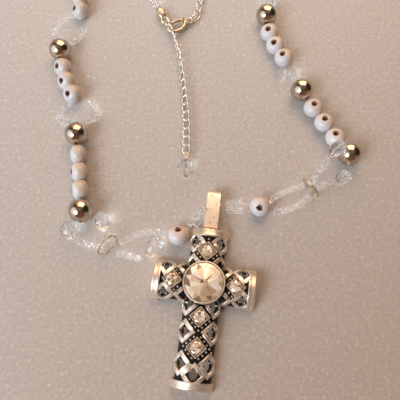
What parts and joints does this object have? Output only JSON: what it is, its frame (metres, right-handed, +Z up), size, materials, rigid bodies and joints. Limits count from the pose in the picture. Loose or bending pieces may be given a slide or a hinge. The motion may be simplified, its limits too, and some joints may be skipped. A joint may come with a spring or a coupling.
{
  "type": "rosary",
  "caption": "Beaded rosary-style necklace laid flat, with white, steel and clear beads, an openwork silver cross on a bail, a lobster clasp and an extender chain.",
  "frame": {"origin": "on the table plane, in the flat back face of the bail, straight below the point where the strands pass through it", "axes": "+X to the wearer's left of the cross face, which is image right; +Y from the cross up through the bail to the clasp; +Z up from the table"},
  "size_m": [0.1091, 0.1798, 0.0105],
  "materials": {
    "clear_crystal": "clear faceted crystal and clear glass tube beads on clear cord",
    "pearl_white": "opaque pearly white, soft gloss",
    "mirror_steel": "dark polished steel mirror",
    "antique_silver": "cast white metal with a silver plate, bright on the bands and blackened in the recesses",
    "bright_silver": "plain silver plate, polished, lightly worn",
    "rhinestone": "clear faceted rhinestone with a foiled back and a champagne tint"
  },
  "bodies": {
    "centre_strand": {"centre_strand": "clear_crystal"},
    "pendant": {"cross_casting": "antique_silver", "bail": "bright_silver", "bezel_cup": "bright_silver", "centre_crystal": "rhinestone", "stone_top": "rhinestone", "stone_left": "rhinestone", "stone_right": "rhinestone", "stone_lower_1": "rhinestone", "stone_lower_2": "rhinestone"},
    "left_spacer": {"left_spacer": "pearl_white"},
    "left_oval_1": {"left_oval_1_crystal": "clear_crystal", "left_oval_1": "clear_crystal"},
    "left_binder_ring": {"left_binder_ring": "bright_silver"},
    "left_branch": {"left_branch": "clear_crystal", "left_branch_outer_crystal": "clear_crystal", "left_branch_inner_crystal": "clear_crystal"},
    "left_run_1": {"left_run_1": "pearl_white"},
    "steel_bead_left_run_1_1": {"steel_bead_left_run_1_1": "mirror_steel"},
    "steel_bead_left_run_1_2": {"steel_bead_left_run_1_2": "mirror_steel"},
    "left_oval_2": {"left_oval_2": "clear_crystal"},
    "left_run_2": {"left_run_2": "pearl_white"},
    "steel_bead_left_run_2_1": {"steel_bead_left_run_2_1": "mirror_steel"},
    "left_oval_3": {"left_oval_3": "clear_crystal"},
    "left_run_3": {"left_run_3": "pearl_white"},
    "steel_bead_left_run_3_1": {"steel_bead_left_run_3_1": "mirror_steel"},
    "left_oval_4": {"left_oval_4": "clear_crystal"},
    "left_run_4": {"left_run_4": "pearl_white"},
    "left_oval_5": {"left_oval_5": "clear_crystal"},
    "left_oval_6": {"left_oval_6": "clear_crystal"},
    "right_spacer": {"right_spacer": "pearl_white"},
    "right_oval_1": {"right_oval_1": "clear_crystal"},
    "right_binder_ring": {"right_binder_ring": "bright_silver"},
    "right_branch": {"right_branch": "clear_crystal", "right_branch_crystal": "clear_crystal"},
    "right_run_1": {"right_run_1": "pearl_white"},
    "steel_bead_right_run_1_1": {"steel_bead_right_run_1_1": "mirror_steel"},
    "steel_bead_right_run_1_2": {"steel_bead_right_run_1_2": "mirror_steel"},
    "right_oval_2": {"right_oval_2": "clear_crystal"},
    "right_run_2": {"right_run_2": "pearl_white"},
    "steel_bead_right_run_2_1": {"steel_bead_right_run_2_1": "mirror_steel"},
    "right_oval_3": {"right_oval_3": "clear_crystal"},
    "right_run_3": {"right_run_3": "pearl_white"},
    "steel_bead_right_run_3_1": {"steel_bead_right_run_3_1": "mirror_steel"},
    "right_oval_4": {"right_oval_4": "clear_crystal"},
    "right_run_4": {"right_run_4": "pearl_white"},
    "right_oval_5": {"right_oval_5": "clear_crystal"},
    "right_cord_end": {"right_cord_end": "bright_silver"},
    "left_cord_end": {"left_cord_end": "bright_silver"},
    "end_ring": {"end_ring": "bright_silver"},
    "extender_chain_1": {"extender_chain_1": "bright_silver"},
    "extender_chain_2": {"extender_chain_2": "bright_silver"},
    "extender_chain_3": {"extender_chain_3": "bright_silver"},
    "extender_chain_4": {"extender_chain_4": "bright_silver"},
    "head_pin": {"head_pin": "bright_silver"},
    "drop_crystal": {"drop_crystal": "clear_crystal"},
    "clasp_body": {"clasp_body": "bright_silver"},
    "clasp_lever": {"clasp_lever": "bright_silver"},
    "clasp_swivel_ring": {"clasp_swivel_ring": "bright_silver"},
    "clasp_chain": {"clasp_chain": "bright_silver"}
  },
  "joints": [
    {"name": "pendant_swing", "type": "hinge", "parent": "centre_strand", "child": "pendant", "pos_m": [0, 0, 0.0025], "axis": [-1, 0, 0], "range_deg": [-30, 80]},
    {"name": "clasp_lever_open", "type": "hinge", "parent": "clasp_body", "child": "clasp_lever", "pos_m": [-0.01102, 0.07393, 0.0016], "axis": [0, 0, -1], "range_deg": [0, 14]},
    {"name": "clasp_body_swing", "type": "hinge", "parent": "end_ring", "child": "clasp_body", "pos_m": [-0.01513, 0.0703, 0.0025], "axis": [0, 0, 1], "range_deg": [-5, 5]},
    {"name": "clasp_swivel_ring_swivel", "type": "hinge", "parent": "clasp_body", "child": "clasp_swivel_ring", "pos_m": [-0.00811, 0.07361, 0.0016], "axis": [0, 0, 1], "range_deg": [-15, 15]},
    {"name": "clasp_chain_bend", "type": "hinge", "parent": "clasp_swivel_ring", "child": "clasp_chain", "pos_m": [-0.00591, 0.07404, 0.00206], "axis": [0, 0, 1], "range_deg": [-12, 12]},
    {"name": "end_ring_swivel", "type": "hinge", "parent": "left_cord_end", "child": "end_ring", "pos_m": [-0.01775, 0.07359, 0.00175], "axis": [0, 0, 1], "range_deg": [-10, 10]},
    {"name": "extender_chain_1_bend", "type": "hinge", "parent": "end_ring", "child": "extender_chain_1", "pos_m": [-0.01535, 0.07087, 0.00336], "axis": [0.9683, 0.2499, 0], "range_deg": [-10, 10]},
    {"name": "extender_chain_2_bend", "type": "hinge", "parent": "extender_chain_1", "child": "extender_chain_2", "pos_m": [-0.012, 0.0579, 0.0017], "axis": [-0.9907, -0.1361, 0], "range_deg": [-15, 15]},
    {"name": "extender_chain_3_bend", "type": "hinge", "parent": "extender_chain_2", "child": "extender_chain_3", "pos_m": [-0.0102, 0.0448, 0.0017], "axis": [0.9964, 0.0843, 0], "range_deg": [-15, 15]},
    {"name": "extender_chain_4_bend", "type": "hinge", "parent": "extender_chain_3", "child": "extender_chain_4", "pos_m": [-0.0091, 0.0318, 0.0017], "axis": [-1, -0.0077, 0], "range_deg": [-15, 15]},
    {"name": "head_pin_swing", "type": "hinge", "parent": "extender_chain_4", "child": "head_pin", "pos_m": [-0.009, 0.0188, 0.002], "axis": [1, 0, 0], "range_deg": [-20, 20]},
    {"name": "right_spacer_bend", "type": "hinge", "parent": "centre_strand", "child": "right_spacer", "pos_m": [0.0118, 0.0001, 0.0026], "axis": [0, 0, -1], "range_deg": [0, 20]},
    {"name": "left_spacer_bend", "type": "hinge", "parent": "centre_strand", "child": "left_spacer", "pos_m": [-0.0087, -0.0076, 0.0026], "axis": [-0.6324, 0.7747, 0], "range_deg": [-20, 20]},
    {"name": "right_oval_1_bend", "type": "hinge", "parent": "right_spacer", "child": "right_oval_1", "pos_m": [0.0182, -0.0002, 0.0026], "axis": [0.4199, -0.9076, 0], "range_deg": [-20, 20]},
    {"name": "left_oval_1_bend", "type": "hinge", "parent": "left_spacer", "child": "left_oval_1", "pos_m": [-0.0136, -0.0116, 0.0026], "axis": [0.0605, -0.9982, 0], "range_deg": [-20, 20]},
    {"name": "right_binder_ring_tip", "type": "hinge", "parent": "right_oval_1", "child": "right_binder_ring", "pos_m": [0.0316, 0.006, 0.00392], "axis": [0.6, -0.8, 0], "range_deg": [-5, 5]},
    {"name": "left_binder_ring_tip", "type": "hinge", "parent": "left_oval_1", "child": "left_binder_ring", "pos_m": [-0.0334, -0.0128, 0.00352], "axis": [-0.4711, -0.8821, 0], "range_deg": [-5, 5]},
    {"name": "right_branch_bend", "type": "hinge", "parent": "right_oval_1", "child": "right_branch", "pos_m": [0.0316, 0.006, 0.0022], "axis": [0, 0, -1], "range_deg": [0, 20]},
    {"name": "left_branch_bend", "type": "hinge", "parent": "left_oval_1", "child": "left_branch", "pos_m": [-0.0334, -0.0128, 0.0022], "axis": [0.6133, 0.7899, 0], "range_deg": [-14, 14]},
    {"name": "right_run_1_bend", "type": "hinge", "parent": "right_branch", "child": "right_run_1", "pos_m": [0.048, 0.0139, 0.0035], "axis": [0, 0, -1], "range_deg": [0, 25]},
    {"name": "left_run_1_bend", "type": "hinge", "parent": "left_branch", "child": "left_run_1", "pos_m": [-0.0419, -0.0062, 0.0035], "axis": [0, 0, 1], "range_deg": [0, 10]},
    {"name": "right_oval_2_bend", "type": "hinge", "parent": "right_run_1", "child": "right_oval_2", "pos_m": [0.0289, 0.0466, 0.0035], "axis": [0.9856, 0.169, 0], "range_deg": [-25, 25]},
    {"name": "left_oval_2_bend", "type": "hinge", "parent": "left_run_1", "child": "left_oval_2", "pos_m": [-0.0468, 0.03, 0.0035], "axis": [-0.9957, -0.0926, 0], "range_deg": [-25, 25]},
    {"name": "right_run_2_bend", "type": "hinge", "parent": "right_oval_2", "child": "right_run_2", "pos_m": [0.0277, 0.0536, 0.0026], "axis": [0, 0, -1], "range_deg": [0, 25]},
    {"name": "left_run_2_bend", "type": "hinge", "parent": "left_oval_2", "child": "left_run_2", "pos_m": [-0.0476, 0.0386, 0.0026], "axis": [0, 0, 1], "range_deg": [0, 14]},
    {"name": "left_oval_3_bend", "type": "hinge", "parent": "left_run_2", "child": "left_oval_3", "pos_m": [-0.0552, 0.0632, 0.0035], "axis": [0.8773, -0.48, 0], "range_deg": [-25, 25]},
    {"name": "steel_bead_right_run_1_2_spin", "type": "hinge", "parent": "right_run_1", "child": "steel_bead_right_run_1_2", "pos_m": [0.03121, 0.04238, 0.0039], "axis": [-0.4838, 0.8752, 0], "continuous": true},
    {"name": "drop_crystal_spin", "type": "hinge", "parent": "head_pin", "child": "drop_crystal", "pos_m": [-0.009, 0.01341, 0.00329], "axis": [0, -0.9724, 0.2334], "continuous": true},
    {"name": "steel_bead_left_run_1_1_spin", "type": "hinge", "parent": "left_run_1", "child": "steel_bead_left_run_1_1", "pos_m": [-0.04252, -0.00165, 0.0039], "axis": [-0.1341, 0.991, 0], "continuous": true},
    {"name": "steel_bead_left_run_1_2_spin", "type": "hinge", "parent": "left_run_1", "child": "steel_bead_left_run_1_2", "pos_m": [-0.04618, 0.02545, 0.0039], "axis": [-0.1341, 0.991, 0], "continuous": true},
    {"name": "steel_bead_left_run_2_1_spin", "type": "hinge", "parent": "left_run_2", "child": "steel_bead_left_run_2_1", "pos_m": [-0.05491, 0.05901, 0.0039], "axis": [-0.1101, 0.9939, 0], "continuous": true},
    {"name": "left_run_3_bend", "type": "hinge", "parent": "left_oval_3", "child": "left_run_3", "pos_m": [-0.0494, 0.0738, 0.0026], "axis": [0, 0, -1], "range_deg": [0, 10]},
    {"name": "steel_bead_left_run_3_1_spin", "type": "hinge", "parent": "left_run_3", "child": "steel_bead_left_run_3_1", "pos_m": [-0.05229, 0.09557, 0.0039], "axis": [-0.2819, 0.9594, 0], "continuous": true},
    {"name": "left_oval_4_bend", "type": "hinge", "parent": "left_run_3", "child": "left_oval_4", "pos_m": [-0.0536, 0.0996, 0.0035], "axis": [-0.9659, 0.2587, 0], "range_deg": [-25, 25]},
    {"name": "left_run_4_bend", "type": "hinge", "parent": "left_oval_4", "child": "left_run_4", "pos_m": [-0.0506, 0.1108, 0.0026], "axis": [0, 0, -1], "range_deg": [0, 10]},
    {"name": "left_oval_5_bend", "type": "hinge", "parent": "left_run_4", "child": "left_oval_5", "pos_m": [-0.038, 0.1208, 0.0026], "axis": [-0.8775, -0.4796, 0], "range_deg": [-20, 20]},
    {"name": "left_oval_6_bend", "type": "hinge", "parent": "left_oval_5", "child": "left_oval_6", "pos_m": [-0.0286, 0.1036, 0.0015], "axis": [0.9452, 0.3266, 0], "range_deg": [-20, 20]},
    {"name": "steel_bead_right_run_1_1_spin", "type": "hinge", "parent": "right_run_1", "child": "steel_bead_right_run_1_1", "pos_m": [0.04546, 0.01799, 0.0039], "axis": [-0.5246, 0.8513, 0], "continuous": true},
    {"name": "steel_bead_right_run_2_1_spin", "type": "hinge", "parent": "right_run_2", "child": "steel_bead_right_run_2_1", "pos_m": [0.02039, 0.07413, 0.0039], "axis": [-0.0075, 1, 0], "continuous": true},
    {"name": "right_oval_3_bend", "type": "hinge", "parent": "right_run_2", "child": "right_oval_3", "pos_m": [0.0206, 0.0784, 0.0035], "axis": [-0.9569, 0.2905, 0], "range_deg": [-25, 25]},
    {"name": "right_run_3_bend", "type": "hinge", "parent": "right_oval_3", "child": "right_run_3", "pos_m": [0.024, 0.0896, 0.0026], "axis": [0, 0, -1], "range_deg": [0, 25]},
    {"name": "steel_bead_right_run_3_1_spin", "type": "hinge", "parent": "right_run_3", "child": "steel_bead_right_run_3_1", "pos_m": [0.02161, 0.1112, 0.0039], "axis": [-0.2626, 0.9649, 0], "continuous": true},
    {"name": "right_oval_4_bend", "type": "hinge", "parent": "right_run_3", "child": "right_oval_4", "pos_m": [0.0204, 0.1152, 0.0035], "axis": [0.4321, 0.9018, 0], "range_deg": [-20, 20]},
    {"name": "right_run_4_bend", "type": "hinge", "parent": "right_oval_4", "child": "right_run_4", "pos_m": [0.0108, 0.1198, 0.0026], "axis": [0.7809, -0.6247, 0], "range_deg": [-20, 20]},
    {"name": "right_oval_5_bend", "type": "hinge", "parent": "right_run_4", "child": "right_oval_5", "pos_m": [-0.0004, 0.1058, 0.0026], "axis": [-0.9911, 0.133, 0], "range_deg": [-20, 20]},
    {"name": "right_cord_end_bend", "type": "hinge", "parent": "right_oval_5", "child": "right_cord_end", "pos_m": [-0.0015, 0.0976, 0.00175], "axis": [0.9671, -0.2545, 0], "range_deg": [-20, 20]},
    {"name": "left_cord_end_bend", "type": "hinge", "parent": "left_oval_6", "child": "left_cord_end", "pos_m": [-0.0201, 0.079, 0.00175], "axis": [0.9171, 0.3987, 0], "range_deg": [-20, 20]}
  ]
}
